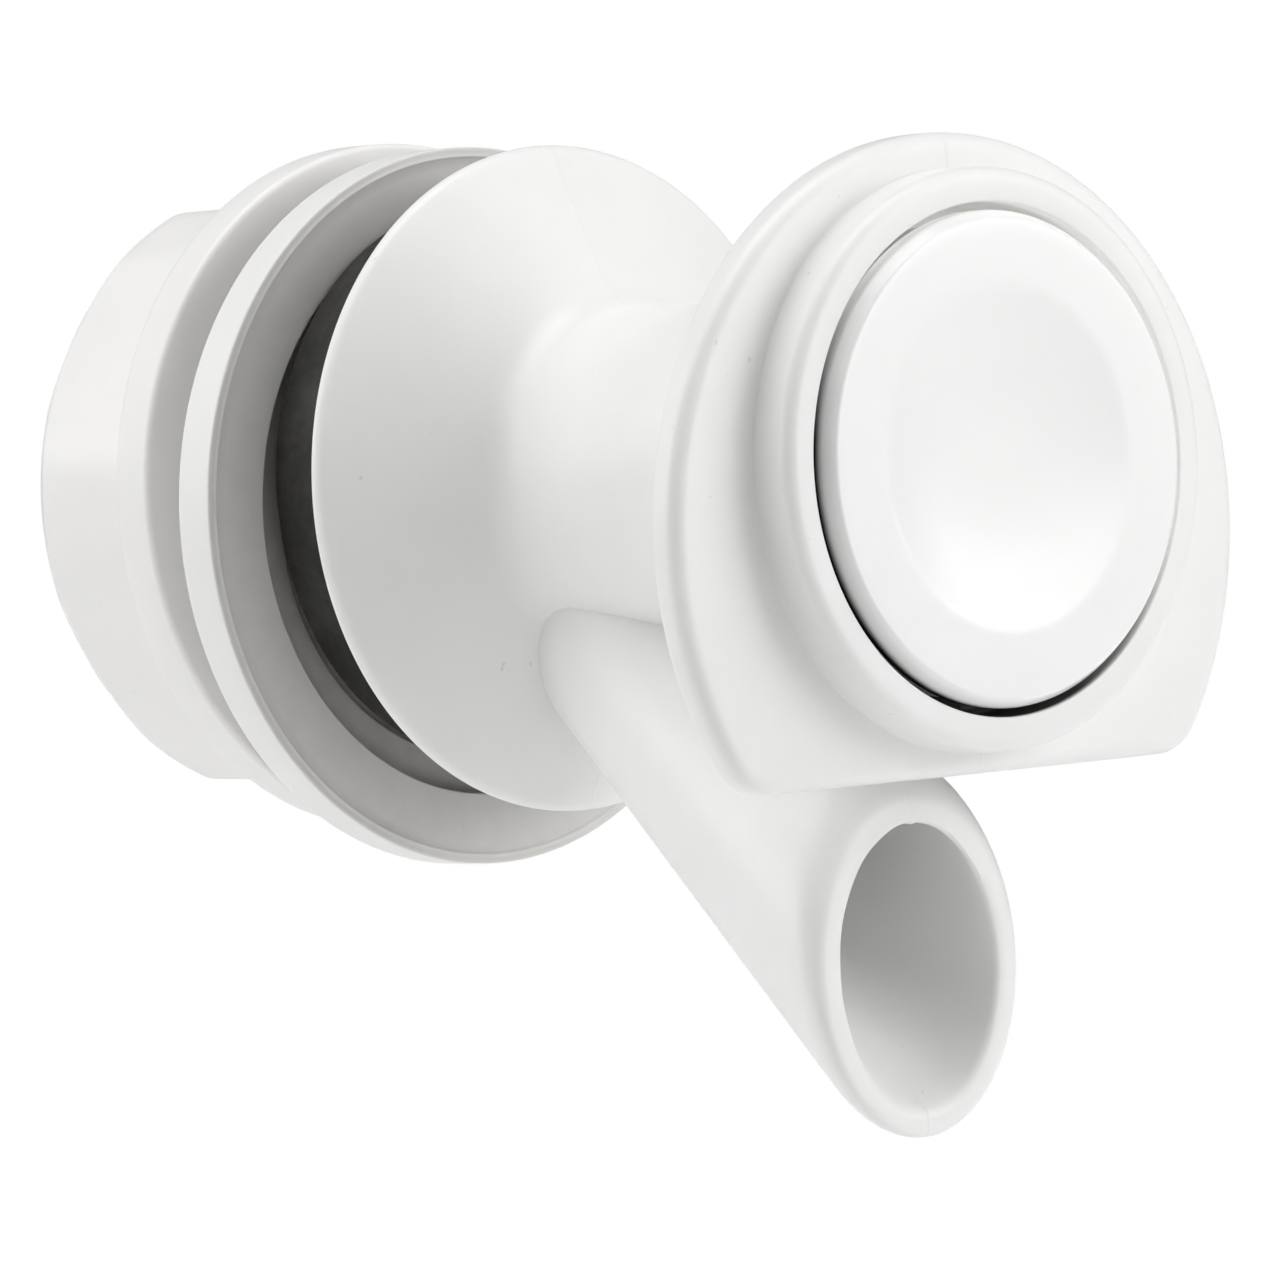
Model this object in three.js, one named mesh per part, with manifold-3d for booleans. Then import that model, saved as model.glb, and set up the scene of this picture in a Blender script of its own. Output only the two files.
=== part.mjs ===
// Push-button dispensing spigot for an insulated drinks cooler.
//
// Frame: millimetres, +Z up. The shank axis runs along Y: +Y goes into the cooler and -Y comes
// out towards the user. The thumb button faces -Y and the spout hangs below the neck in the
// plane X = 0. Every dimension is given from the shank axis and from the flat back face of the
// bell flange, where the cooler wall starts. The finished pieces are then moved by AXIS_Y and
// AXIS_Z, which puts the origin close to the middle of the whole object's box.
import * as THREE from "three";
import { mergeVertices } from "three/addons/utils/BufferGeometryUtils.js";
import Module from "manifold-3d";

const wasm = await Module();
wasm.setup();

// ---------- driving dimensions (mm) ----------
// _R is a radius; _FRONT, _BACK and _END are places along Y
const GAP = 0.3; // running or assembly gap between neighbouring pieces
const AXIS_Y = 3.3; // where the flange's back face ends up
const AXIS_Z = 9.3; // where the shank axis ends up

// button collar
const COLLAR_FRONT = -39.0; // plane of the collar's rim
const COLLAR_BORE_R = 15.0;
const COLLAR_RIM_R = 16.28; // where the flat rim ends and the edge starts to turn
const COLLAR_R = 17.05;
const COLLAR_EDGE_DEEP = 0.85; // how far back the rounded edge reaches
const WELL_FLOOR = -34.5; // floor of the button well

// D-shaped finger plate
const PLATE_FRONT = -36.1;
const PLATE_CROWN = 0.083; // how far its front falls back for each millimetre outside the collar
const PLATE_BACK = -33.54;
const PLATE_R = 23.1;
const PLATE_CENTRE_Z = -3.9;
const PLATE_BOTTOM_Z = -18.35;
const PLATE_FILLET = 3.6;
const PLATE_EDGE = 1.0; // width of the edge bevel

// neck, bell and flange
const NECK_R = 10.2;
const NECK_FILLET = 1.1; // where the neck meets the finger plate
const NECK_END = -8.2; // where the neck starts to flare
const BELL_CORNER = -6.35; // corner that the flare bends towards
const BELL_FOOT_R = 11.9;
const BELL_FOOT = -5.55;
const FLANGE_R = 20.36;
const FLANGE_EDGE = -1.35;
const FLANGE_SEAT_R = 19.05; // the rim's back corner is cut away outside this
const GASKET_SEAT_R = 17.5;
const GASKET_SEAT = -0.6;

// shank
const SHANK_R = 11.7; // plain cylinder at the mean radius of the coarse thread
const SHANK_END = 28.5;
const SHANK_CHAMFER = 1.0;

// inside the body
const POCKET_R = 7.4; // dry spring pocket
const POCKET_CHAMFER = 0.6;
const BULKHEAD_FRONT = -17.0;
const BULKHEAD_BACK = -13.4;
const STEM_HOLE_R = 2.5;
const ORING_BORE_R = 4.5;
const ORING_BORE_FLOOR = -14.9;
const WATERWAY_R = 7.5;
const SEAT_R = 8.6;
const SEAT_DEEP = 1.1; // length of the flare from the waterway to the seat

// spout: vertical sections are ellipses, and the centre drops forwards along the spout
const SPOUT_DROP = 0.872; // fall per millimetre forward, 41 degrees
const SPOUT_LIP = -29.94;
const SPOUT_OUT_Z = -28.45; // centre height of the outside at SPOUT_SHOULDER
const SPOUT_SHOULDER = -28.5;
const SPOUT_LIP_R = 7.75;
const SPOUT_R = 8.7;
const SPOUT_ROOT_R = 6.9;
const SPOUT_ROOT = -3.2;
const SPOUT_TALL = 1.25; // height of an outside section over its width
const BORE_LIP_Z = -29.85; // centre height of the bore at SPOUT_LIP
const BORE_LIP_R = 6.3;
const BORE_ROOT_R = 4.7;
const BORE_ROOT = -2.4;
const BORE_TALL = 1.327; // height of a bore section over its width

// push button
const BUTTON_R = 14.5;
const BUTTON_FRONT = -39.8;
const BUTTON_CAP = 2.0; // thickness of the cap
const BUTTON_EDGE = 0.5; // how far the edge is cut in, radially
const BUTTON_EDGE_DEEP = 0.85; // and how far back
const BUTTON_DISH_R = 10.0;
const BUTTON_DISH = 0.7;
const BUTTON_SKIRT_END = -38.05;
const BUTTON_SKIRT_WALL = 1.6;
const BUTTON_CUP_R = 7.1; // low ring round the spring's front end
const BUTTON_CUP_BORE_R = 6.2;
const BUTTON_CUP_TALL = 0.9;
const BUTTON_BOSS_R = 4.0;
const BUTTON_BOSS_END = -30.2;
const BUTTON_BOSS_CHAMFER = 0.6;

// plunger stem
const STEM_R = 2.2;
const STEM_TIP = -35.6;
const STEM_BARB_R = 2.55;
const STEM_SHOULDER_R = 3.3;
const STEM_NECK_R = 1.7;
const STEM_HEAD_R = 3.0;
const STEM_HEAD_EDGE = 0.5; // length of the head's straight side
const STEM_HEAD_END = 33.3;
const RIB_R = 7.0;
const RIB_WIDTH = 1.4;
const RIB_START = 10.0;
const RIB_END = 20.0;

// valve seal
const SEAL_R = 9.6 - 1.0 + 1.0;
const SEAL_FRONT = 28.8;
const SEAL_BACK = 31.2;
const SEAL_CHAMFER = 0.7;

// stem O-ring and its retaining washer
const ORING_WIRE_R = 0.95;
const RETAINER_THICK = 1.1;

// return spring
const SPRING_MEAN_R = 5.55;
const SPRING_WIRE_R = 0.45;
const SPRING_FRONT = -37.5;
const SPRING_BACK = -18.75;
const SPRING_TURNS = 8.5;
const SPRING_CLOSED = 1.0; // closed turns at each end
const SPRING_CLOSED_GAP = 0.12; // between the wires of a closed turn

// outer gasket
const GASKET_R = 17.15;
const GASKET_BORE_R = 12.3;
const GASKET_FRONT = -0.3;
const GASKET_BACK = 6.0;
const GASKET_FRONT_CHAMFER = 0.4;
const GASKET_BACK_CHAMFER = 0.5;

// inner washer, which hangs on the shank because its hole is larger
const WASHER_DROP = 1.45;
const WASHER_R = 22.15;
const WASHER_FACE = 6.3;
const WASHER_RECESS_R = 17.8;
const WASHER_RECESS = 7.5;
const WASHER_HOLE_R = 13.5;
const WASHER_STEP = 1.9; // width of the deeper step round the hole
const WASHER_STEP_DEEP = 0.5;
const WASHER_BACK = 9.3;
const WASHER_FRONT_CHAMFER = 0.1;
const WASHER_BACK_CHAMFER = 0.4;

// lock nut
const NUT_FRONT = 13.0;
const NUT_FLANGE_R = 21.3;
const NUT_FLANGE_BACK = 16.3;
const NUT_FLANGE_FRONT_CHAMFER = 0.3;
const NUT_FLANGE_BACK_CHAMFER = 0.5;
const NUT_BACK = 27.7;
const NUT_FLATS = 35.8; // across flats
const NUT_CORNER_R = 19.2;
const NUT_BACK_R = 17.95;
const NUT_CHAMFER = 2.1;
const NUT_BORE_R = 12.0;
const NUT_BORE_CHAMFER = 0.8;

// ---------- helpers ----------
// welds a geometry's vertices, drops collapsed triangles and turns the faces outwards
function solid(geometry) {
  for (const name of Object.keys(geometry.attributes)) {
    if (name !== "position") geometry.deleteAttribute(name);
  }
  const welded = mergeVertices(geometry, 1e-4);
  const { position } = welded.attributes;
  const point = (i) => new THREE.Vector3().fromBufferAttribute(position, i);
  const triangles = [];
  let volume = 0;
  for (let i = 0; i < welded.index.count; i += 3) {
    const [a, b, c] = [0, 1, 2].map((k) => welded.index.getX(i + k));
    if (a === b || b === c || c === a) continue;
    triangles.push([a, b, c]);
    volume += point(a).dot(point(b).cross(point(c))) / 6;
  }
  const outward = volume < 0 ? triangles.map(([a, b, c]) => [a, c, b]) : triangles;
  return new wasm.Manifold(
    new wasm.Mesh({
      numProp: 3,
      vertProperties: new Float32Array(position.array),
      triVerts: new Uint32Array(outward.flat()),
    }),
  );
}

function geometryOf(manifold) {
  const mesh = manifold.getMesh();
  const geometry = new THREE.BufferGeometry();
  geometry.setAttribute("position", new THREE.BufferAttribute(mesh.vertProperties, 3));
  geometry.setIndex(Array.from(mesh.triVerts));
  geometry.computeVertexNormals();
  return geometry;
}

// revolves a list of [radius, y] round the Y axis; a list that leaves the axis is closed up
function lathe(profile, segments) {
  const points = profile.map(([radius, y]) => new THREE.Vector2(radius, y));
  const [first, last] = [points[0], points.at(-1)];
  if (first.x !== 0 || last.x !== 0) points.push(first.clone());
  return new THREE.LatheGeometry(points, segments);
}

const turned = (profile, segments) => solid(lathe(profile, segments));

// the same, sheared so that its centre line falls forwards, passing through height centreZ at
// centreY, and its sections are ellipses
function drooping(profile, segments, { tall, centreY, centreZ }) {
  const geometry = lathe(profile, segments);
  const offset = centreZ - SPOUT_DROP * centreY;
  geometry.applyMatrix4(
    new THREE.Matrix4().set(1, 0, 0, 0, 0, 1, 0, 0, 0, SPOUT_DROP, tall, offset, 0, 0, 0, 1),
  );
  return solid(geometry);
}

// profile points of a curve between two points, bulging towards the corner
function rounded(...controls) {
  const curve = new THREE.QuadraticBezierCurve(...controls.map((p) => new THREE.Vector2(...p)));
  return curve.getPoints(3).map(({ x, y }) => [x, y]);
}

// a flat shape drawn in X and Z, pushed forwards (towards -Y) from the plane y
function extruded(shape, y, options) {
  const geometry = new THREE.ExtrudeGeometry(shape, { bevelEnabled: false, ...options });
  geometry.rotateX(Math.PI / 2);
  geometry.translate(0, y, 0);
  return solid(geometry);
}

// ---------- spigot body: one moulding ----------
function bodyOutside() {
  return turned(
    [
      [0, COLLAR_FRONT],
      ...rounded(
        [COLLAR_RIM_R, COLLAR_FRONT],
        [COLLAR_R, COLLAR_FRONT],
        [COLLAR_R, COLLAR_FRONT + COLLAR_EDGE_DEEP],
      ),
      [COLLAR_R, PLATE_BACK - 1.0], // the collar closes inside the finger plate
      [NECK_R + NECK_FILLET, PLATE_BACK - 0.6],
      [NECK_R, PLATE_BACK + NECK_FILLET],
      ...rounded([NECK_R, NECK_END], [NECK_R, BELL_CORNER], [BELL_FOOT_R, BELL_FOOT]),
      [FLANGE_R - 1.1, FLANGE_EDGE - 0.95], // softened front edge of the flange
      [FLANGE_R - 0.25, FLANGE_EDGE - 0.4],
      [FLANGE_R, FLANGE_EDGE + 0.1],
      [FLANGE_SEAT_R, 0],
      [GASKET_SEAT_R, 0],
      [GASKET_SEAT_R, GASKET_SEAT],
      [SHANK_R, GASKET_SEAT],
      [SHANK_R, SHANK_END - SHANK_CHAMFER],
      [SHANK_R - SHANK_CHAMFER, SHANK_END],
      [0, SHANK_END],
    ],
    36,
  );
}

// circle with its bottom cut flat and the two corners rounded, drawn inside the edge bevel
function plateOutline() {
  const radius = PLATE_R - PLATE_EDGE;
  const fillet = PLATE_FILLET - PLATE_EDGE;
  const filletZ = PLATE_BOTTOM_Z + PLATE_EDGE + fillet;
  const filletDrop = filletZ - PLATE_CENTRE_Z;
  const filletX = Math.sqrt((radius - fillet) ** 2 - filletDrop ** 2);
  const touch = Math.atan2(filletDrop, filletX); // angle where circle and fillet meet
  const shape = new THREE.Shape();
  shape.absarc(0, PLATE_CENTRE_Z, radius, touch, Math.PI - touch, false);
  shape.absarc(-filletX, filletZ, fillet, Math.PI - touch, 1.5 * Math.PI, false);
  shape.absarc(filletX, filletZ, fillet, -0.5 * Math.PI, touch, false);
  return shape;
}

function fingerPlate() {
  const bevelExtra = 0.3; // the bevel is this much deeper than it is wide
  const backInset = 0.4; // from the plate's back to where the back bevel starts
  const plate = extruded(plateOutline(), PLATE_BACK - backInset, {
    depth: PLATE_BACK - PLATE_FRONT - (backInset + bevelExtra) - PLATE_EDGE,
    curveSegments: 16,
    bevelEnabled: true,
    bevelThickness: PLATE_EDGE + bevelExtra,
    bevelSize: PLATE_EDGE,
    bevelSegments: 2,
  });
  // the front falls back outside the collar, and the back bevel is cut off part way
  const reach = 12; // carries the envelope past the plate's outline
  const envelope = turned(
    [
      [0, PLATE_FRONT],
      [COLLAR_R, PLATE_FRONT],
      [COLLAR_R + reach, PLATE_FRONT + reach * PLATE_CROWN],
      [COLLAR_R + reach, PLATE_BACK],
      [0, PLATE_BACK],
    ],
    36,
  );
  return plate.intersect(envelope);
}

function spoutOutside() {
  return drooping(
    [
      [0, SPOUT_LIP],
      ...rounded([SPOUT_LIP_R, SPOUT_LIP], [SPOUT_R, SPOUT_LIP], [SPOUT_R, SPOUT_SHOULDER]),
      [SPOUT_ROOT_R, SPOUT_ROOT],
      [0, SPOUT_ROOT],
    ],
    28,
    { tall: SPOUT_TALL, centreY: SPOUT_SHOULDER, centreZ: SPOUT_OUT_Z },
  );
}

function spoutBore() {
  const past = 4; // how far the cutter runs out of the lip
  return drooping(
    [
      [0, SPOUT_LIP - past],
      [BORE_LIP_R + 0.25, SPOUT_LIP - past],
      [BORE_LIP_R, SPOUT_LIP],
      [BORE_ROOT_R, BORE_ROOT],
      [0, BORE_ROOT],
    ],
    24,
    { tall: BORE_TALL, centreY: SPOUT_LIP, centreZ: BORE_LIP_Z },
  );
}

// button well, spring pocket, O-ring bore, stem hole, waterway and valve seat
function axialBore() {
  const past = 5; // how far the cutter runs out of each end
  return turned(
    [
      [0, COLLAR_FRONT - past],
      [COLLAR_BORE_R, COLLAR_FRONT - past],
      [COLLAR_BORE_R, WELL_FLOOR],
      [POCKET_R + POCKET_CHAMFER, WELL_FLOOR],
      [POCKET_R, WELL_FLOOR + POCKET_CHAMFER],
      [POCKET_R, BULKHEAD_FRONT],
      [ORING_BORE_R, BULKHEAD_FRONT],
      [ORING_BORE_R, ORING_BORE_FLOOR],
      [STEM_HOLE_R, ORING_BORE_FLOOR],
      [STEM_HOLE_R, BULKHEAD_BACK],
      [WATERWAY_R, BULKHEAD_BACK],
      [WATERWAY_R, SHANK_END - SEAT_DEEP],
      [SEAT_R, SHANK_END + 0.01], // just clear of the shank's end face
      [SEAT_R, SHANK_END + past],
      [0, SHANK_END + past],
    ],
    32,
  );
}

function spigotBody() {
  const outside = bodyOutside().add(fingerPlate()).add(spoutOutside());
  return outside.subtract(axialBore()).subtract(spoutBore());
}

// ---------- push button: dished cap, skirt and boss for the stem ----------
function pushButton() {
  const capBack = BUTTON_FRONT + BUTTON_CAP;
  const skirtBore = BUTTON_R - BUTTON_SKIRT_WALL;
  return turned(
    [
      [0, BUTTON_FRONT + BUTTON_DISH],
      [3.8, BUTTON_FRONT + 0.93 * BUTTON_DISH], // curve of the dish
      [7.2, BUTTON_FRONT + 0.57 * BUTTON_DISH],
      [BUTTON_DISH_R, BUTTON_FRONT],
      [BUTTON_R - BUTTON_EDGE, BUTTON_FRONT],
      [BUTTON_R, BUTTON_FRONT + BUTTON_EDGE_DEEP],
      [BUTTON_R, BUTTON_SKIRT_END],
      [skirtBore, BUTTON_SKIRT_END],
      [skirtBore, capBack - 0.4], // the cap is thinner towards the skirt
      [BUTTON_CUP_R, capBack - 0.1],
      [BUTTON_CUP_R, capBack + BUTTON_CUP_TALL],
      [BUTTON_CUP_BORE_R, capBack + BUTTON_CUP_TALL],
      [BUTTON_CUP_BORE_R, capBack],
      [BUTTON_BOSS_R, capBack],
      [BUTTON_BOSS_R, BUTTON_BOSS_END - BUTTON_BOSS_CHAMFER],
      [BUTTON_BOSS_R - BUTTON_BOSS_CHAMFER, BUTTON_BOSS_END],
      [STEM_R + GAP, BUTTON_BOSS_END],
      [STEM_R + GAP, STEM_TIP + 1.9], // groove for the stem's barb
      [STEM_BARB_R + GAP, STEM_TIP + 1.3],
      [STEM_BARB_R + GAP, STEM_TIP + 0.7],
      [STEM_R, STEM_TIP - GAP],
      [0, STEM_TIP - GAP],
    ],
    32,
  );
}

// ---------- plunger stem: barbed tip, guide ribs, shoulder and mushroom head ----------
function plungerStem() {
  const shoulder = SEAL_FRONT - GAP;
  const head = SEAL_BACK + GAP;
  let stem = turned(
    [
      [0, STEM_TIP],
      [STEM_R - 0.4, STEM_TIP],
      [STEM_BARB_R, STEM_TIP + 0.9], // barb
      [STEM_BARB_R, STEM_TIP + 1.2],
      [STEM_R, STEM_TIP + 1.6],
      [STEM_R, shoulder - 1.4],
      [STEM_SHOULDER_R, shoulder - 1.0],
      [STEM_SHOULDER_R, shoulder],
      [STEM_NECK_R, shoulder],
      [STEM_NECK_R, head],
      [STEM_HEAD_R, head],
      [STEM_HEAD_R, head + STEM_HEAD_EDGE],
      [STEM_NECK_R - 0.4, STEM_HEAD_END],
      [0, STEM_HEAD_END],
    ],
    20,
  );
  // two crossed blades make four ribs, turned to the diagonals
  for (const [width, height] of [[2 * RIB_R, RIB_WIDTH], [RIB_WIDTH, 2 * RIB_R]]) {
    const blade = new THREE.BoxGeometry(width, RIB_END - RIB_START, height);
    blade.rotateY(Math.PI / 4);
    blade.translate(0, (RIB_START + RIB_END) / 2, 0);
    stem = stem.add(solid(blade));
  }
  return stem;
}

// ---------- valve seal: rubber disc pulled over the stem's head ----------
function valveSeal() {
  return turned(
    [
      [STEM_NECK_R + GAP, SEAL_FRONT],
      [WATERWAY_R - 0.6, SEAL_FRONT],
      [SEAT_R, SEAL_FRONT + 0.35].with(0, SEAL_R - 1.0 + 1.0),
      [SEAL_R, SEAL_BACK - SEAL_CHAMFER],
      [SEAL_R - SEAL_CHAMFER, SEAL_BACK],
      [STEM_NECK_R + GAP, SEAL_BACK],
    ],
    32,
  );
}

// ---------- stem O-ring in the bulkhead, and the washer that holds it there ----------
function stemOring() {
  const ring = new THREE.TorusGeometry((STEM_R + ORING_BORE_R) / 2, ORING_WIRE_R, 8, 24);
  ring.rotateX(Math.PI / 2);
  ring.translate(0, (BULKHEAD_FRONT + ORING_BORE_FLOOR) / 2, 0);
  return solid(ring);
}

function oringRetainer() {
  const back = BULKHEAD_FRONT - GAP;
  return turned(
    [
      [STEM_R + GAP, back - RETAINER_THICK],
      [POCKET_R - GAP, back - RETAINER_THICK],
      [POCKET_R - GAP, back],
      [STEM_R + GAP, back],
    ],
    28,
  );
}

// ---------- return spring: open coil with closed end turns ----------
class Coil extends THREE.Curve {
  getPoint(t, target = new THREE.Vector3()) {
    const closedRise = 2 * SPRING_WIRE_R + SPRING_CLOSED_GAP; // rise of one closed turn
    const length = SPRING_BACK - SPRING_FRONT - 2 * SPRING_WIRE_R;
    const openRise =
      (length - 2 * SPRING_CLOSED * closedRise) / (SPRING_TURNS - 2 * SPRING_CLOSED);
    const turns = SPRING_TURNS * t;
    const closed =
      Math.min(turns, SPRING_CLOSED) + Math.max(turns - (SPRING_TURNS - SPRING_CLOSED), 0);
    const angle = 2 * Math.PI * turns;
    return target.set(
      SPRING_MEAN_R * Math.cos(angle),
      SPRING_FRONT + SPRING_WIRE_R + closed * closedRise + (turns - closed) * openRise,
      -SPRING_MEAN_R * Math.sin(angle),
    );
  }
}

function returnSpring() {
  const wire = new THREE.Shape();
  wire.absarc(0, 0, SPRING_WIRE_R, 0, 2 * Math.PI, false);
  return solid(
    new THREE.ExtrudeGeometry(wire, {
      steps: 102,
      curveSegments: 3,
      bevelEnabled: false,
      extrudePath: new Coil(),
    }),
  );
}

// ---------- outer gasket ----------
function outerGasket() {
  return turned(
    [
      [GASKET_BORE_R, GASKET_FRONT],
      [GASKET_R - GASKET_FRONT_CHAMFER, GASKET_FRONT],
      [GASKET_R, GASKET_FRONT + GASKET_FRONT_CHAMFER],
      [GASKET_R, GASKET_BACK - GASKET_BACK_CHAMFER],
      [GASKET_R - GASKET_BACK_CHAMFER, GASKET_BACK],
      [GASKET_BORE_R, GASKET_BACK],
    ],
    36,
  );
}

// ---------- inner washer: flat ring with a recess for the gasket's edge ----------
function innerWasher() {
  const stepR = WASHER_HOLE_R + WASHER_STEP;
  const washer = turned(
    [
      [WASHER_HOLE_R, WASHER_RECESS + WASHER_STEP_DEEP],
      [stepR, WASHER_RECESS + WASHER_STEP_DEEP],
      [stepR, WASHER_RECESS],
      [WASHER_RECESS_R, WASHER_RECESS],
      [WASHER_RECESS_R, WASHER_FACE],
      [WASHER_R - WASHER_FRONT_CHAMFER, WASHER_FACE],
      [WASHER_R, WASHER_FACE + WASHER_FRONT_CHAMFER],
      [WASHER_R, WASHER_BACK - WASHER_BACK_CHAMFER],
      [WASHER_R - WASHER_BACK_CHAMFER, WASHER_BACK],
      [WASHER_HOLE_R, WASHER_BACK],
    ],
    40,
  );
  return washer.translate([0, 0, -WASHER_DROP]);
}

// ---------- lock nut: round flange, six flats, chamfered back ----------
function lockNut() {
  const past = 1; // how far the cutters and the hexagon's envelope overshoot
  const cornerR = NUT_FLATS / 2 / Math.cos(Math.PI / 6);
  const corners = Array.from({ length: 6 }, (_, i) => {
    const angle = (i * Math.PI) / 3;
    return new THREE.Vector2(cornerR * Math.cos(angle), cornerR * Math.sin(angle));
  });
  const hexagon = new THREE.Shape(corners);
  hexagon.closePath();
  const prism = extruded(hexagon, NUT_BACK + past, {
    depth: NUT_BACK + past - (NUT_FRONT + past),
  });
  const flangeEdge = NUT_FLANGE_BACK - NUT_FLANGE_BACK_CHAMFER;
  const envelope = turned(
    [
      [0, NUT_FRONT],
      [NUT_FLANGE_R + past, NUT_FRONT],
      [NUT_FLANGE_R + past, flangeEdge],
      [NUT_CORNER_R, NUT_FLANGE_BACK],
      [NUT_CORNER_R, NUT_BACK - NUT_CHAMFER],
      [NUT_BACK_R, NUT_BACK],
      [0, NUT_BACK],
    ],
    36,
  );
  const flange = turned(
    [
      [0, NUT_FRONT],
      [NUT_FLANGE_R - NUT_FLANGE_FRONT_CHAMFER, NUT_FRONT],
      [NUT_FLANGE_R, NUT_FRONT + NUT_FLANGE_FRONT_CHAMFER],
      [NUT_FLANGE_R, flangeEdge],
      [NUT_FLANGE_R - NUT_FLANGE_BACK_CHAMFER, NUT_FLANGE_BACK],
      [0, NUT_FLANGE_BACK],
    ],
    36,
  );
  const mouthR = NUT_BORE_R + NUT_BORE_CHAMFER + past;
  const hole = turned(
    [
      [0, NUT_FRONT - past],
      [mouthR, NUT_FRONT - past],
      [NUT_BORE_R, NUT_FRONT + NUT_BORE_CHAMFER],
      [NUT_BORE_R, NUT_BACK - NUT_BORE_CHAMFER],
      [mouthR, NUT_BACK + past],
      [0, NUT_BACK + past],
    ],
    32,
  );
  return prism.intersect(envelope).add(flange).subtract(hole);
}

// ---------- pieces and their materials ----------
const pieces = [
  ["spigot_body", spigotBody, { color: 0xf1f1ef, roughness: 0.38 }],
  ["push_button", pushButton, { color: 0xf6f6f5, roughness: 0.3 }],
  ["plunger_stem", plungerStem, { color: 0xecece8, roughness: 0.45 }],
  ["valve_seal", valveSeal, { color: 0x2a2a2a, roughness: 0.8 }],
  ["stem_oring", stemOring, { color: 0x262626, roughness: 0.7 }],
  ["oring_retainer", oringRetainer, { color: 0xe9e9e4, roughness: 0.45 }],
  ["return_spring", returnSpring, { color: 0xc9c9c7, roughness: 0.28, metalness: 1 }],
  ["outer_gasket", outerGasket, { color: 0x2b2a29, roughness: 0.75 }],
  ["inner_washer", innerWasher, { color: 0xf0efec, roughness: 0.42 }],
  ["lock_nut", lockNut, { color: 0xf2f0ee, roughness: 0.42 }],
];

const spigot = new THREE.Group();
for (const [name, build, finish] of pieces) {
  const material = new THREE.MeshStandardMaterial({ metalness: 0, ...finish });
  const mesh = new THREE.Mesh(geometryOf(build().translate([0, AXIS_Y, AXIS_Z])), material);
  mesh.name = name;
  spigot.add(mesh);
}

export default spigot;
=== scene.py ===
"""Looks of a push-button dispensing spigot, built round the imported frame.

Pieces are worked out in millimetres from the shank axis and the back face of the bell flange: -Y is
the user's side, +Y goes into the cooler and Z is up. from_lists() moves them to the row's origin,
the middle of the object's box, and turns them into metres.
"""

import math

import bmesh
import bpy
import numpy as np
from mathutils import Matrix, Vector


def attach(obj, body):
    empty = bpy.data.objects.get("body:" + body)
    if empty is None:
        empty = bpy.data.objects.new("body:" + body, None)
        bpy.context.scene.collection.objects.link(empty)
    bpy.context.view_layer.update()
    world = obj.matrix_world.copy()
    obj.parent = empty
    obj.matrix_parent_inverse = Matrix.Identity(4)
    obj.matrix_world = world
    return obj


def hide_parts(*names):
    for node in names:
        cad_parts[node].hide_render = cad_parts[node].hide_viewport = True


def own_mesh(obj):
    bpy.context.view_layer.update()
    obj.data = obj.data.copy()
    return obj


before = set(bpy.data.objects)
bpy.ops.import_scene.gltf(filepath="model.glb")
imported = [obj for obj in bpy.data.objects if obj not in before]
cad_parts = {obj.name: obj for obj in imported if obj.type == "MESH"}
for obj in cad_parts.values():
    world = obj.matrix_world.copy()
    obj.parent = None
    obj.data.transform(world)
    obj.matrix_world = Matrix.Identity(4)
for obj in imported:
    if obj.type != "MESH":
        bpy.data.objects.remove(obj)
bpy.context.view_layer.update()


MM = 0.001
TAU = math.tau
AXIS = (0.0, 3.3, 9.3)  # shank axis at the flange's back face, in the row's frame

# ---------------------------------------------------------------- sizes shared by the pieces

COLLAR_FRONT, COLLAR_BORE, COLLAR_R = -39.0, 15.0, 17.05
PLATE_FRONT, PLATE_BACK = -36.1, -33.54
PLATE_CROWN = 0.083  # how far the plate's front falls back for each millimetre outwards
PLATE_R, PLATE_Z, PLATE_BOTTOM, PLATE_FILLET = 23.1, -3.9, -18.35, 3.6
PLATE_FRONT_ROUND, PLATE_BACK_ROUND = 1.0, 0.5
NECK_R, NECK_FOOT, NECK_END, FLARE_R = 10.2, 1.3, -8.87, 3.2
FLANGE_R, FLANGE_ROUND = 20.36, 0.8
PITCH, THREAD_OUT, THREAD_ROOT = 3.0, 11.95, 11.0
SHANK_END = 28.5

# the spout's centre drops towards the user by SPOUT_FALL for each millimetre of Y
SPOUT_LIP, SPOUT_SHOULDER, SPOUT_FALL = -29.94, -28.3, 0.872
BORE_LIP_Z = -29.85
SPOUT_TALL, BORE_TALL = 1.25, 1.327  # height over width

BUTTON_FRONT, BUTTON_R, BUTTON_TRAVEL = -39.8, 14.5, 3.2
SPRING_FRONT, SPRING_BACK = -37.5, -18.75
SPRING_LENGTH = SPRING_BACK - SPRING_FRONT
WASHER_FACE, WASHER_DROP = 6.3, 1.45

# ---------------------------------------------------------------- profiles: lists of (radius, y)


def line(start, end, steps):
    """Points after start, up to and including end."""
    return [
        tuple(a + (b - a) * i / steps for a, b in zip(start, end))
        for i in range(1, steps + 1)
    ]


def arc(centre_r, centre_y, radius, start, end, steps):
    """Points of an arc, angles in degrees from +radius towards +y."""
    turns = [math.radians(start + (end - start) * i / steps) for i in range(steps + 1)]
    return [
        (centre_r + radius * math.cos(turn), centre_y + radius * math.sin(turn))
        for turn in turns
    ]


def outline(stations):
    """Points from (radius, y) rows. A third number divides the run from the row before."""
    points = []
    for radius, y, *steps in stations:
        points += line(points[-1], (radius, y), steps[0]) if steps else [(radius, y)]
    return points


def quarter(steps):
    """(sine, cosine) at even steps from 0 to 90 degrees."""
    turns = [math.radians(90 * i / steps) for i in range(steps + 1)]
    return [(math.sin(turn), math.cos(turn)) for turn in turns]


def angles(count):
    return np.arange(count) * TAU / count


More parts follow.
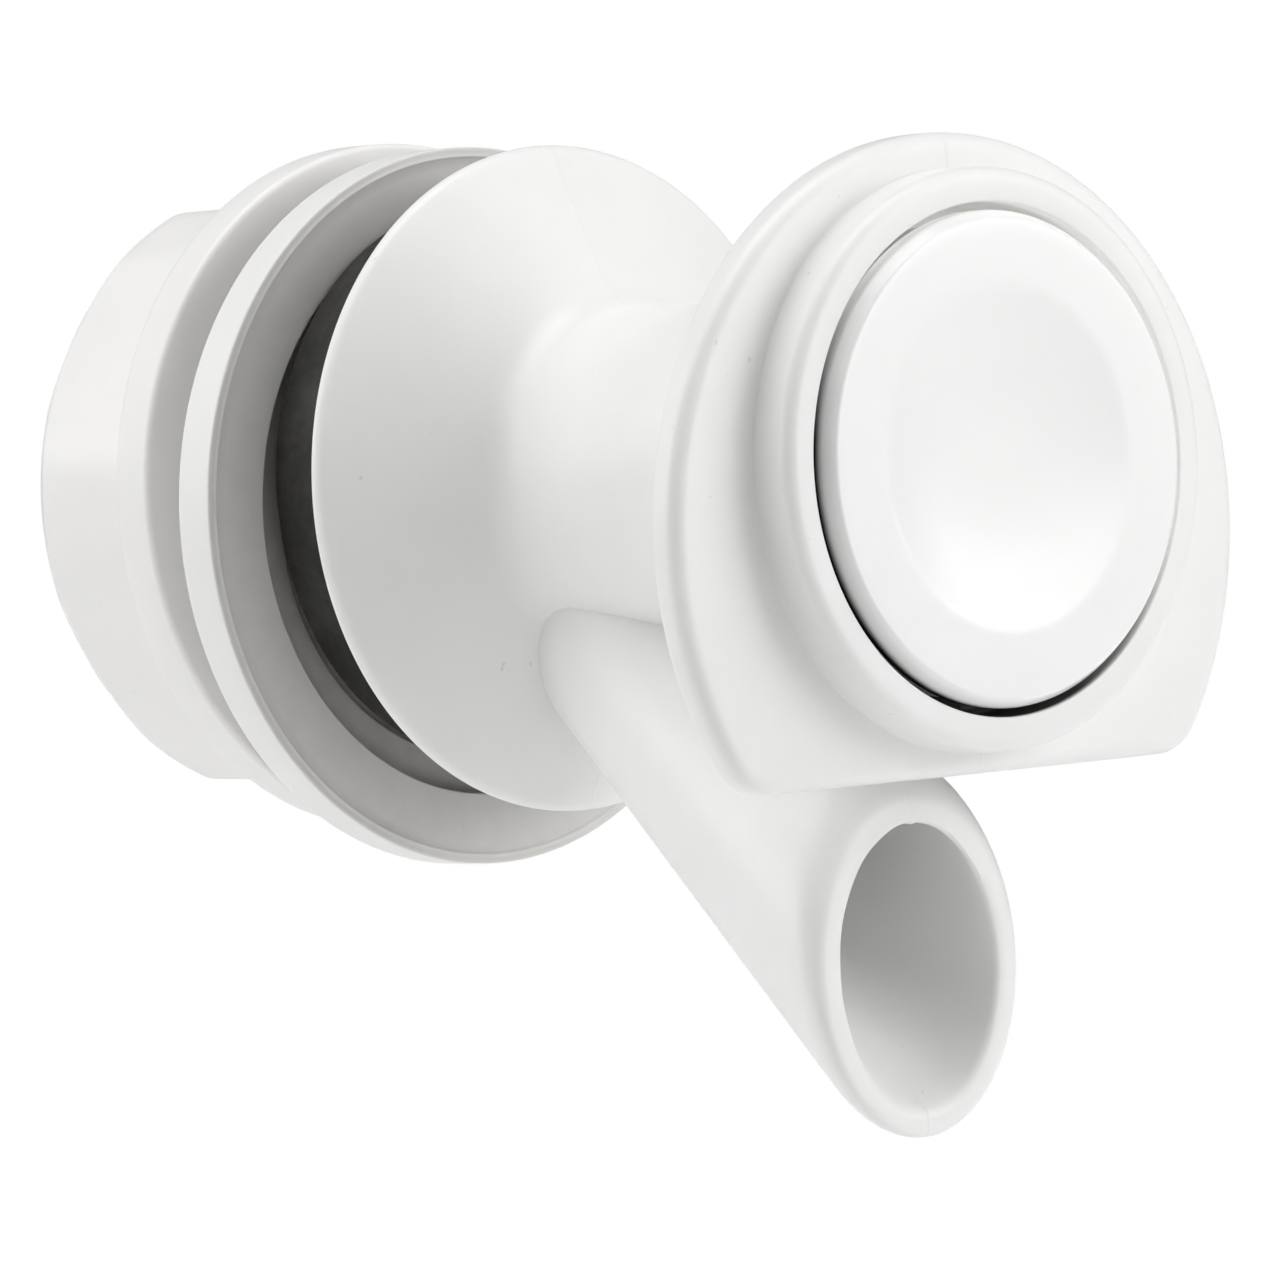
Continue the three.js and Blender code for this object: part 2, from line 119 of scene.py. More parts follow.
def circle(count, radius, y, centre_z=0.0, tall=1.0):
    """A ring round Y. radius and y may be a number or one value for each angle."""
    theta = angles(count)
    radius = np.broadcast_to(np.asarray(radius, float), theta.shape)
    y = np.broadcast_to(np.asarray(y, float), theta.shape)
    return np.stack(
        [radius * np.cos(theta), y, radius * tall * np.sin(theta) + centre_z], axis=1
    )


# ---------------------------------------------------------------- meshes


def mesh(name, rings, tips=None):
    """A closed mesh from rings with equal numbers of points, each joined to the next.

    tips are the two points that close the ends; without them the last ring joins the first.
    """
    count = len(rings[0])
    verts = np.concatenate(rings)
    starts = [k * count for k in range(len(rings))]
    following = starts[1:] + ([] if tips else starts[:1])
    sides = [(i, (i + 1) % count) for i in range(count)]
    faces = [
        (here + i, here + j, there + j, there + i)
        for here, there in zip(starts, following)
        for i, j in sides
    ]
    if tips:
        first, last = len(verts), len(verts) + 1
        verts = np.concatenate([verts, np.array(tips, float)])
        faces += [(j, i, first) for i, j in sides]
        faces += [(starts[-1] + i, starts[-1] + j, last) for i, j in sides]
    return from_lists(name, verts, faces)


def from_lists(name, verts, faces):
    """An object in the row's frame, with its faces turned outwards."""
    fans = [(f[0], f[k], f[k + 1]) for f in faces for k in range(1, len(f) - 1)]
    first, second, third = verts[np.array(fans)].transpose(1, 0, 2)
    if np.sum(first * np.cross(second, third)) < 0:
        faces = [tuple(reversed(f)) for f in faces]
    data = bpy.data.meshes.new(name)
    data.from_pydata(((verts + AXIS) * MM).tolist(), [], faces)
    data.validate()
    data.update()
    piece = bpy.data.objects.new(name, data)
    bpy.context.scene.collection.objects.link(piece)
    return piece


def turned(name, profile, count, centre_z=0.0):
    """A solid of revolution round Y.

    The profile either starts and ends on the axis or is a loop clear of it.
    """
    tips = None
    if profile[0][0] == 0:
        tips = [(0, y, centre_z) for _, y in (profile[0], profile[-1])]
        profile = profile[1:-1]
    return mesh(name, [circle(count, radius, y, centre_z) for radius, y in profile], tips)


def boolean(piece, other, kind):
    mod = piece.modifiers.new("cut", "BOOLEAN")
    mod.operation = kind
    mod.object = other
    mod.solver = "MANIFOLD"
    bpy.context.view_layer.update()
    bpy.context.view_layer.objects.active = piece
    bpy.ops.object.modifier_apply(modifier=mod.name)
    data = other.data
    bpy.data.objects.remove(other)
    bpy.data.meshes.remove(data)


def smooth(piece, degrees=32):
    """Smooth shading, with edges sharper than degrees left sharp."""
    data = piece.data
    data.polygons.foreach_set("use_smooth", np.ones(len(data.polygons), bool))
    data.set_sharp_from_angle(angle=math.radians(degrees))
    data.update()
    return piece


def tidy(piece, distance=0.004 * MM):
    """Welds the slivers that a cut leaves."""
    edit = bmesh.new()
    edit.from_mesh(piece.data)
    bmesh.ops.remove_doubles(edit, verts=edit.verts, dist=distance)
    bmesh.ops.dissolve_degenerate(edit, dist=distance, edges=edit.edges)
    edit.to_mesh(piece.data)
    edit.free()


# ---------------------------------------------------------------- threads


def ease(amount):
    """Clamps to 0..1 and rounds off both ends of the rise."""
    amount = np.clip(amount, 0, 1)
    return amount * amount * (3 - 2 * amount)


def ridge_height(theta, y, middle, half_width, flank):
    """Height of a thread, 0 to 1. middle, half_width and flank are fractions of a turn."""
    turns = (y + PITCH * theta / TAU) / PITCH
    off = np.abs((turns - middle + 0.5) % 1.0 - 0.5)
    return ease((half_width - off) / flank)


def along_thread(start, stop, per_turn, radius_at):
    count = round(abs(stop - start) / PITCH * per_turn)
    heights = [start + (stop - start) * i / count for i in range(count + 1)]
    return [(radius_at(y), y) for y in heights]


# ---------------------------------------------------------------- spigot body


def plate_edge(theta, inset):
    """Distance from the shank axis to the finger plate's edge, moved in by inset.

    The plate is an arc cut off flat at the bottom, with rounded corners. The distance in each
    direction is found by bisection.
    """
    arc_r = PLATE_R - PLATE_FILLET
    corner_z = PLATE_BOTTOM + PLATE_FILLET
    corner_x = math.sqrt(arc_r * arc_r - (corner_z - PLATE_Z) ** 2)
    cos, sin = np.cos(theta), np.sin(theta)
    near, far = np.full(theta.shape, 5.0), np.full(theta.shape, 40.0)
    for _ in range(48):
        middle = (near + far) / 2
        x, z = middle * cos, middle * sin
        from_centre = np.hypot(x, z - PLATE_Z)
        arc_z = PLATE_Z + arc_r * (z - PLATE_Z) / from_centre
        to_corner = np.hypot(np.abs(x) - corner_x, z - corner_z)
        below_arc = np.where(np.abs(x) <= corner_x, corner_z - z, to_corner)
        distance = np.where(arc_z >= corner_z, from_centre - arc_r, below_arc)
        outside = distance > PLATE_FILLET - inset
        far = np.where(outside, middle, far)
        near = np.where(outside, near, middle)
    return (near + far) / 2


def plate_profile(theta):
    """From the foot of the collar round the finger plate and in to the foot of the neck."""
    front_round, back_round = PLATE_FRONT_ROUND, PLATE_BACK_ROUND
    edge = plate_edge(theta, front_round)
    fillet = np.clip(edge - COLLAR_R - 0.06, 0.05, 0.14)  # nearly sharp
    foot = COLLAR_R + fillet
    brow = PLATE_FRONT + PLATE_CROWN * (edge - foot)
    return [
        *((COLLAR_R + fillet * (1 - cos), PLATE_FRONT - fillet * (1 - sin))
          for sin, cos in quarter(4)),
        *line((foot, PLATE_FRONT), (edge, brow), 8)[:-1],
        *((plate_edge(theta, front_round * (1 - sin)), brow + front_round * (1 - cos))
          for sin, cos in quarter(8)),
        (plate_edge(theta, 0.0), (brow + front_round + PLATE_BACK - back_round) / 2),
        *((plate_edge(theta, back_round * (1 - cos)), PLATE_BACK - back_round * (1 - sin))
          for sin, cos in quarter(5)),
        *line((plate_edge(theta, back_round), PLATE_BACK), (NECK_R + NECK_FOOT, PLATE_BACK), 12)[:-1],
    ]


def shank_profile(theta):
    """The thread grows out of the plain foot and dies into the end chamfer."""

    def radius_at(y):
        height = ridge_height(theta, y, middle=0.55, half_width=0.35, flank=0.2)
        grow = ease((y - 1.4) / 2.2)
        fade = min(1.0, max(0.0, (SHANK_END - 0.2 - y) / 1.6))
        return THREAD_ROOT + (THREAD_OUT - THREAD_ROOT) * height * grow * fade**0.5

    return along_thread(0.6, SHANK_END - 1.0, 11, radius_at)


def body_profile(theta):
    foot_y = PLATE_BACK + NECK_FOOT
    return outline([
        # collar: inner edge, flat rim, turned outer edge
        *arc(COLLAR_BORE + 0.12, COLLAR_FRONT + 0.12, 0.12, 180, 270, 4),
        (16.2, COLLAR_FRONT, 3),
        *arc(16.2, COLLAR_FRONT + 0.85, 0.85, -90, 0, 9)[1:],
        *plate_profile(theta),
        # neck, flare into the bell, cone, turned rim
        *arc(NECK_R + NECK_FOOT, foot_y, NECK_FOOT, 270, 180, 6),
        (NECK_R, NECK_END, 20),
        *arc(NECK_R + FLARE_R, NECK_END, FLARE_R, 180, 116.6, 9)[1:],
        *line((11.967, -6.009), (19.918, -2.033), 12),
        *arc(FLANGE_R - FLANGE_ROUND, -1.318, FLANGE_ROUND, -63.4, 0, 8)[1:],
        # the rim's back corner is cut away to the flat ring that meets the cooler wall
        (20.34, -1.26), (20.28, -1.19), (20.2, -1.11), (19.2, -0.11, 4),
        (19.12, -0.04), (19.0, 0), (17.6, 0, 4),
        *arc(17.6, -0.1, 0.1, 90, 180, 2)[1:],
        (17.5, -0.5), (17.4, -0.6), (11.9, -0.6, 4),
        *arc(11.9, -0.1, 0.5, 270, 205, 3)[1:],
        # shank and its end face
        *shank_profile(theta),
        (THREAD_ROOT, SHANK_END - 0.7), (10.9, SHANK_END - 0.35),
        *arc(10.6, SHANK_END - 0.3, 0.3, 10, 90, 3),
        (8.8, SHANK_END, 3),
        # seat, waterway
        (8.6, SHANK_END - 0.08), (8.05, SHANK_END - 0.6), (7.55, SHANK_END - 1.1),
        *line((7.5, SHANK_END - 1.3), (7.5, -12.6), 26),
        *arc(6.7, -12.6, 0.8, 0, -90, 5)[1:],
        # bulkhead with the O-ring bore
        (2.8, -13.4, 3), (2.55, -13.5), (2.5, -13.7), (2.5, -14.9), (2.6, -14.9),
        (4.4, -14.9), (4.5, -15.0), (4.5, -16.8), (4.6, -17.0), (6.9, -17.0),
        # spring pocket and button well
        (7.3, -17.1), (7.4, -17.5), (7.4, -33.9, 8), (7.6, -34.3), (8.0, -34.5),
        (COLLAR_BORE - 0.5, -34.5, 5),
        *arc(COLLAR_BORE - 0.5, -35.0, 0.5, 90, 0, 5),
        (COLLAR_BORE, -38.6, 6),
    ])


def slanted(name, stations, tall, centre_z, lead, end):
    """A closed tube whose vertical sections are ellipses, capped at lead and end on Y."""
    rings = [circle(192, radius, y, centre_z(y), tall) for radius, y in stations]
    return mesh(name, rings, [(0, y, centre_z(y)) for y in (lead, end)])


def spout_outside():
    lip_r, full_r, end = 7.62, 8.72, -3.2
    stations = outline([
        *((radius, SPOUT_LIP) for radius in (4.0, 5.6, 6.6, 7.2)),
        *((lip_r + (full_r - lip_r) * sin, SPOUT_LIP + (SPOUT_SHOULDER - SPOUT_LIP) * (1 - cos))
          for sin, cos in quarter(10)),
        (6.9, end, 32),
    ])
    return slanted(
        "spout", stations, SPOUT_TALL, lambda y: -28.45 + SPOUT_FALL * (y + 28.5), SPOUT_LIP, end
    )


def spout_bore():
    mouth_r, end, lead = 6.3, -2.4, SPOUT_LIP - 3.0
    theta = angles(192)
    rough = 0.03 * np.sin(5 * theta + 0.6) + 0.02 * np.sin(11 * theta + 2.0)
    # flash nibs where the mould halves meet, and a thin one low on the left: angle, depth, width
    for at, depth, width in (
        (math.pi / 2, -0.13, 0.045),
        (-math.pi / 2, -0.16, 0.035),
        (math.pi + 0.35, -0.07, 0.16),
    ):
        off = np.angle(np.exp(1j * (theta - at)))
        rough = rough + depth * np.exp(-((off / width) ** 2))
    # the mouth's turned edge: distance in from the lip, widening
    mouth = ((0.0, 0.34), (0.08, 0.2), (0.2, 0.09), (0.38, 0.02))
    stations = [
        (6.75, lead),
        *((mouth_r + wider + rough * (1 - inward * 2), SPOUT_LIP + inward)
          for inward, wider in mouth),
        *line((mouth_r, SPOUT_LIP + 0.38), (4.7, end), 28),
    ]
    return slanted(
        "bore", stations, BORE_TALL,
        lambda y: BORE_LIP_Z + SPOUT_FALL * (y - SPOUT_LIP), lead, end,
    )


def spigot_body():
    count = 288
    piece = turned("tap_body", body_profile(angles(count)), count)
    boolean(piece, spout_outside(), "UNION")
    boolean(piece, spout_bore(), "DIFFERENCE")
    tidy(piece)
    return smooth(piece, 34)


# ---------------------------------------------------------------- button and plunger


def thumb_dish(y):
    """A shallow round bowl that turns into the flat rim over about half a millimetre."""
    depth, dish_r, outer_r = 0.7, 10.0, 10.9
    points = [(0, y + depth)]
    for i in range(1, 45):
        radius = outer_r * i / 44
        bowl = depth * (1 - (radius / dish_r) ** 2.6)
        points.append((radius, y + 0.5 * (bowl + math.sqrt(bowl * bowl + 0.0018))))
    return points + line((outer_r, y), (13.8, y), 5)


def push_button():
    front, rim = BUTTON_FRONT, BUTTON_R
    profile = outline([
        *thumb_dish(front),
        # the edge leans in steeply to a small turned corner
        (13.88, front + 0.005), (13.95, front + 0.03), (14.01, front + 0.08),
        (14.06, front + 0.15), (14.44, front + 0.74, 5),
        (14.47, front + 0.82), (14.49, front + 0.92), (rim, front + 1.02),
        (rim, -38.2, 3), (rim - 0.15, -38.05), (rim - 1.45, -38.05), (rim - 1.6, -38.1),
        # underside, with a raised ring
        (rim - 2.1, -38.0), (7.4, -37.87), (7.12, -37.65), (7.1, -37.05),
        (6.95, -36.9), (6.35, -36.9), (6.2, -37.05), (6.2, -37.65), (6.05, -37.8),
        # hollow boss that takes the stem
        (4.3, -37.8), (4.0, -37.5), (4.0, -30.6, 6), (3.85, -30.3), (3.5, -30.2),
        (2.75, -30.2), (2.5, -30.45), (2.5, -33.6), (2.85, -34.3), (2.85, -34.9),
        (2.3, -35.85), (0, -35.9),
    ])
    return smooth(turned("button_cap", profile, 256), 25)


def guide_rib(degrees):
    """A flat bar across the stem, with turned ends, at an angle round Y."""
    half_thick = 0.7
    turn = math.radians(degrees)
    # y, half width
    stations = (
        (10.0, 2.0), (10.6, 4.6), (11.8, 6.6), (13.0, 7.0), (15.0, 7.0),
        (17.0, 7.0), (18.2, 6.6), (19.4, 4.6), (20.0, 2.0),
    )
    rings = []
    for y, half_wide in stations:
        points = []
        for i in range(48):
            cos, sin = math.cos(TAU * i / 48), math.sin(TAU * i / 48)
            x = math.copysign(abs(cos) ** 0.25, cos) * half_wide
            z = math.copysign(abs(sin) ** 0.5, sin) * half_thick
            points.append((
                x * math.cos(turn) - z * math.sin(turn),
                y,
                x * math.sin(turn) + z * math.cos(turn),
            ))
        rings.append(np.array(points))
    return mesh("rib", rings, ((0, 10.0, 0), (0, 20.0, 0)))


def plunger_stem():
    stem_r = 2.2
    profile = outline([
        # snap head in the button
        (0, -35.6), (1.5, -35.6), (1.8, -35.45), (2.52, -34.75), (2.55, -34.6), (2.55, -34.45),
        (stem_r, -34.0), (stem_r, 26.9, 40),
        # shoulder, waist that holds the seal, end knob
        (2.4, 27.15), (3.2, 27.45), (3.3, 27.6), (3.3, 28.4), (3.2, 28.5), (1.75, 28.5),
        (1.7, 28.6), (1.7, 31.45), (1.8, 31.5), (2.9, 31.5), (3.0, 31.6), (3.0, 32.0),
        (2.8, 32.3), (1.7, 33.15), (1.3, 33.3), (0, 33.3),
    ])
    piece = turned("stem", profile, 64)
    # two crossed bars make four ribs
    for degrees in (45, 135):
        boolean(piece, guide_rib(degrees), "UNION")
    return smooth(piece)


def valve_seal():
    profile = outline([
        (2.0, 28.95), (2.15, 28.8), (6.9, 28.8, 5), (7.4, 28.86), (8.2, 29.02), (9.2, 29.15),
        *arc(9.25, 29.5, 0.35, -70, 0, 4),
        (9.6, 30.5, 2),
        *arc(8.9, 30.5, 0.7, 0, 90, 6)[1:],
        (2.2, 31.2, 6), (2.0, 31.05),
    ])
    return smooth(turned("seal", profile, 160))


def stem_oring():
    return smooth(turned("oring", arc(3.35, -15.95, 0.98, 0, 360, 28)[:-1], 96))


def oring_retainer():
    front, back, edge = -18.4, -17.3, 0.15
    profile = outline([
        (2.65, front), (2.5, front + 0.12), (2.5, back - 0.12), (2.62, back), (6.95, back, 5),
        *arc(6.95, back - edge, edge, 90, 0, 3)[1:],
        *arc(6.95, front + edge, edge, 0, -90, 3),
        # low raised ring on the front face
        (4.9, front, 3), (4.7, front - 0.02), (4.6, front - 0.18), (4.5, front - 0.25),
        (3.0, front - 0.25), (2.85, front - 0.1),
    ])
    return smooth(turned("retainer", profile[::-1], 128))


def return_spring():
    mean_r, wire_r = 5.55, 0.45
    turns, dead = 8.5, 1.0  # dead turns at each end lie nearly closed
    steps, sides = 620, 20
    length = SPRING_LENGTH - 2 * wire_r
    dead_rise = dead * (2 * wire_r + 0.12)
    turn = np.linspace(0, turns, steps + 1)
    y = np.interp(turn, [0, dead, turns - dead, turns], [0, dead_rise, length - dead_rise, length])

    # the change from closed to open coil is eased over a quarter turn
    width = int(steps / turns * 0.25)
    before = y[0] + np.arange(-width, 0) * (y[1] - y[0])
    after = y[-1] + np.arange(1, width + 1) * (y[-1] - y[-2])
    padded = np.concatenate([before, y, after])
    y = np.convolve(padded, np.ones(width) / width, mode="same")[width:-width]
    y = y - y[0]
    y *= length / y[-1]

    theta = TAU * turn
    cos, sin = np.cos(theta), np.sin(theta)
    centre = np.stack([mean_r * cos, SPRING_FRONT + wire_r + y, -mean_r * sin], axis=1)
    tangent = np.gradient(centre, axis=0)
    tangent /= np.linalg.norm(tangent, axis=1)[:, None]
    outward = np.stack([cos, np.zeros_like(theta), -sin], axis=1)
    across = np.cross(tangent, outward)
    around = angles(sides)
    rings = []
    for i in range(steps + 1):
        # the last two rings at each end shrink a little, for a softened square cut
        radius = wire_r * {0: 0.82, 1: 0.93}.get(min(i, steps - i), 1.0)
        offset = np.cos(around)[:, None] * outward[i] + np.sin(around)[:, None] * across[i]
        rings.append(centre[i] + radius * offset)
    return smooth(mesh("spring", rings, (centre[0], centre[-1])), 50)


# ---------------------------------------------------------------- gasket, washer, nut


def outer_gasket():
    count = 224
    theta = angles(count)
    swell = 0.9 * (0.03 * np.sin(3 * theta + 1.1) + 0.02 * np.sin(7 * theta))
    profile = outline([
        (12.45, -0.3), (16.7, -0.3, 5),
        *arc(16.7, 0.15, 0.45, -90, 0, 5)[1:],
        (17.15, 5.6, 8),
        *arc(16.75, 5.6, 0.4, 0, 90, 6)[1:],
        (12.5, 6.0, 5), (12.3, 5.85), (12.3, -0.15, 6),
    ])
    # only the outer side is uneven
    uneven = [(radius + swell if radius > 16.5 else radius, y) for radius, y in profile]
    return smooth(turned("gasket", uneven, count))


def inner_washer():
    rim, back, face, edge = 22.15, 9.3, WASHER_FACE, 0.12
    profile = outline([
        # stepped recess in the side that faces the wall
        (13.5, 8.15), (13.65, 8.0), (15.2, 8.0, 2), (15.3, 7.95), (15.35, 7.85),
        (15.38, 7.6), (15.5, 7.5), (17.5, 7.5, 2), (17.65, 7.42), (17.75, 7.25),
        (17.77, 6.45), (17.8, 6.35),
        # the flat face, with the fine raised witness line that runs round just inside its edge
        (17.87, face), (rim - 0.72, face, 6), (rim - 0.66, face - 0.03), (rim - 0.6, face - 0.06),
        (rim - 0.54, face - 0.06), (rim - 0.48, face - 0.03), (rim - 0.42, face),
        (rim - edge, face, 2),
        *arc(rim - edge, face + edge, edge, -90, 0, 3)[1:],
        (rim, back - 0.4, 4),
        *arc(rim - 0.4, back - 0.4, 0.4, 0, 90, 6)[1:],
        (13.75, back, 7), (13.57, back - 0.05), (13.5, back - 0.2),
    ])
    return smooth(turned("washer", profile, 256, centre_z=-WASHER_DROP))


def lock_nut():
    count = 240
    theta = angles(count)
    front, flange_back, back = 13.0, 16.3, 27.7
    flange_r, flange_round = 21.3, 0.7
    apothem, corner_r, back_r = 17.9, 19.2, 17.95
    foot, blend, taper = 0.5, 0.45, 0.08
    chamfer_y, end_round = back - 2.1, 0.35
    thread_start, thread_stop = back - 0.9, front + 0.9

    within = (theta + math.pi / 6) % (math.pi / 3) - math.pi / 6
    hexagon = apothem / np.cos(math.pi / 6 - np.abs(within))

    def capped(cap):
        """The hexagon with its corners turned down to a radius of cap, blended smoothly."""
        share = np.clip(0.5 + 0.5 * (cap - hexagon) / blend, 0, 1)
        return cap * (1 - share) + hexagon * share - blend * share * (1 - share) * 0.5

    def thread_radius(y):
        # this ridge runs in the shank's groove
        height = ridge_height(theta, y, middle=0.05, half_width=0.29, flank=0.18)
        grow = min(1.0, max(0.0, min(thread_start - y, y - thread_stop)))
        return 12.25 - 0.93 * height * grow

    side = capped(corner_r)
    last = capped(back_r) - taper
    inner = flange_r - flange_round
    profile = outline([
        # flange
        *line((13.9, front), (20.9, front), 6),
        *arc(20.9, front + 0.4, 0.4, -90, 0, 5)[1:],
        (flange_r, flange_back - flange_round, 3),
        *arc(inner, flange_back - flange_round, flange_round, 0, 90, 6)[1:],
        # fillet at the foot of the hexagon, then its sides
        *line((inner, flange_back), (side + foot, flange_back), 3),
        *((side + foot * (1 - sin), flange_back + foot * (1 - cos)) for sin, cos in quarter(5)[1:]),
        *line((side, flange_back + foot), (side - taper, chamfer_y), 8),
        # chamfer: a cone that cuts the corners back, rounded into the end face
        *((capped(corner_r + (back_r - corner_r) * (i / 8) ** 1.3) - taper,
           chamfer_y + 1.75 * i / 8) for i in range(1, 9)),
        *((last - end_round * (1 - cos), back - end_round * (1 - sin))
          for sin, cos in quarter(4)[1:]),
        *line((last - end_round, back), (13.6, back), 6),
        # threaded bore
        (13.2, back - 0.15), (12.7, back - 0.6),
        *along_thread(thread_start, thread_stop, 10, thread_radius),
        (12.8, front + 0.5), (13.5, front + 0.1),
    ])
    return smooth(turned("nut", profile, count), 36)


# ---------------------------------------------------------------- materials


def row_y(y):
    """A height on Y, in millimetres from the flange, as metres in the row's frame."""
    return (y + AXIS[1]) * MM


class Shader:
    """A principled material. Socket values may be constants or other sockets."""

    def __init__(self, name):
        self.mat = bpy.data.materials.new(name)
        self.mat.use_nodes = True
        self.tree = self.mat.node_tree
        self.tree.nodes.clear()
        self.out = self.new("ShaderNodeOutputMaterial")
        self.bsdf = self.new("ShaderNodeBsdfPrincipled")
        self.feed(self.out.inputs[0], self.bsdf.outputs[0])
        self.coord = self.new("ShaderNodeTexCoord").outputs["Object"]

    def new(self, kind, **values):
        node = self.tree.nodes.new(kind)
        for key, value in values.items():
            setattr(node, key, value)
        return node

    def feed(self, socket, value):
        if isinstance(value, (int, float, tuple)):
            socket.default_value = value
        else:
            self.tree.links.new(value, socket)

    def set(self, name, value):
        self.feed(self.bsdf.inputs[name], value)

    def math(self, operation, *values):
        node = self.new("ShaderNodeMath", operation=operation)
        for socket, value in zip(node.inputs, values):
            self.feed(socket, value)
        return node.outputs[0]

    def times(self, first, second):
        return self.math("MULTIPLY", first, second)

    def split(self):
        """x, y and z of the object coordinate."""
        node = self.new("ShaderNodeSeparateXYZ")
        self.feed(node.inputs[0], self.coord)
        return tuple(node.outputs)

    def from_axis(self, x, z, axis_z):
        """Height above an axis along Y, and distance from it."""
        above = self.math("SUBTRACT", z, axis_z * MM)
        squares = self.math("ADD", self.times(x, x), self.times(above, above))
        return above, self.math("SQRT", squares)

    def noise(self, scale, detail, rough=0.5, stretch=None):
        at = self.coord
        if stretch:
            mapping = self.new("ShaderNodeMapping")
            mapping.inputs["Scale"].default_value = stretch
            self.feed(mapping.inputs["Vector"], at)
            at = mapping.outputs[0]
        node = self.new("ShaderNodeTexNoise")
        node.inputs["Scale"].default_value = scale
        node.inputs["Detail"].default_value = detail
        node.inputs["Roughness"].default_value = rough
        self.feed(node.inputs["Vector"], at)
        return node.outputs["Fac"]

    def ramp(self, value, span, to=(0, 1)):
        """Maps the range span onto the range to."""
        node = self.new("ShaderNodeMapRange")
        for socket, entry in zip(node.inputs, (value, *span, *to)):
            self.feed(socket, entry)
        return node.outputs[0]

    def mix(self, factor, under, over):
        node = self.new("ShaderNodeMix", data_type="RGBA")
        self.feed(node.inputs["Factor"], factor)
        for index, colour in ((6, under), (7, over)):
            is_constant = isinstance(colour, tuple)
            self.feed(node.inputs[index], (*colour, 1) if is_constant else colour)
        return node.outputs[2]

    def bump(self, height, distance, strength, below=None):
        node = self.new("ShaderNodeBump")
        node.inputs["Strength"].default_value = strength
        node.inputs["Distance"].default_value = distance
        self.feed(node.inputs["Height"], height)
        if below is not None:
            self.feed(node.inputs["Normal"], below)
        return node.outputs[0]


def add_marks(shader, tone):
    """A few tiny dark flecks in the resin and faint broad handling marks."""
    fleck = shader.ramp(shader.noise(scale=1700, detail=1, rough=0.3), (0.8, 0.84), (0, 0.25))
    marks = shader.ramp(shader.noise(scale=55, detail=4, rough=0.7), (0.56, 0.8), (0, 0.1))
    tone = shader.mix(fleck, tone, (0.36, 0.34, 0.31))
    return shader.mix(marks, tone, (0.7, 0.69, 0.67))


def shade_well(shader, tone, well):
    """Paints shade into the slot round the button, most on the lower left, away from the light, with
    a faint painted glow on the lit side.
    """
    x, y, z = shader.split()
    above, out = shader.from_axis(x, z, AXIS[2])
    aside = shader.math("ADD", shader.times(x, -0.6), shader.times(above, -0.8))
    lee = shader.ramp(shader.math("DIVIDE", aside, out), (-0.3, 0.5))
    ring = shader.times(
        shader.math("LESS_THAN", out, (COLLAR_BORE + 0.15) * MM),
        shader.math("GREATER_THAN", out, 13.8 * MM),
    )
    top, knee, bottom = (row_y(height) for height in well)
    depth = shader.math(
        "ADD", shader.ramp(y, (top, knee), (0, 0.3)), shader.ramp(y, (knee, bottom), (0, 0.7))
    )
    slot = shader.math("LESS_THAN", y, row_y(-34.0))
    inner = shader.times(shader.times(depth, ring), slot)
    # painted glow on the lit side, standing in for light that comes through the collar's thin wall
    lit = shader.times(inner, shader.math("SUBTRACT", 1.0, lee))
    shader.set("Emission Color", (1.0, 0.98, 0.95, 1))
    shader.set("Emission Strength", shader.times(lit, 0.2))
    return shader.mix(shader.times(inner, lee), tone, (0.03, 0.029, 0.027))


def shade_washer_face(shader, tone):
    """Paints shade on the washer's wall face, which lies in the shade of the flange and gasket, and
    deeper painted shade in the recess for the gasket.
    """
    x, y, z = shader.split()
    _, out = shader.from_axis(x, z, AXIS[2] - WASHER_DROP)
    face = shader.ramp(y, (row_y(WASHER_FACE), row_y(WASHER_FACE + 0.12)), (1, 0))
    recess = shader.times(
        shader.ramp(out, (17.7 * MM, 17.85 * MM), (1, 0)),
        shader.math("LESS_THAN", y, row_y(8.3)),
    )
    # noise makes the strength of the painted shade a little patchy
    shade_mottle = shader.ramp(shader.noise(scale=700, detail=4, rough=0.6), (0.3, 0.7), (0.85, 1.0))
    for mask, strength, colour in (
        (face, 0.55, (0.52, 0.505, 0.487)),
        (recess, 0.75, (0.4, 0.375, 0.352)),
    ):
        tone = shader.mix(shader.times(shader.times(mask, strength), shade_mottle), tone, colour)
    return tone


def parting_line(shader, below):
    """A fine ridge where the mould halves meet, on the plane x = 0."""
    x, y, z = shader.split()
    off = shader.math("ABSOLUTE", x)
    # it stops short of the collar, which is turned in one half of the mould
    behind = shader.math("GREATER_THAN", y, row_y(-36.3))
    # nor is there one down the spout's bore, whose core is one piece
    inward = shader.math("ADD", y, -row_y(SPOUT_LIP))
    bore_z = shader.math("ADD", shader.times(inward, SPOUT_FALL), (AXIS[2] + BORE_LIP_Z) * MM)
    from_bore = shader.math("ABSOLUTE", shader.math("SUBTRACT", z, bore_z))
    outside = shader.math(
        "MAXIMUM",
        shader.math("GREATER_THAN", from_bore, 9.0 * MM),
        shader.math("LESS_THAN", inward, 0.2 * MM),
    )
    ridge = shader.times(
        shader.ramp(off, (0.02 * MM, 0.16 * MM), (1, 0)), shader.times(behind, outside)
    )
    return shader.bump(ridge, distance=0.00005, strength=0.55, below=below)


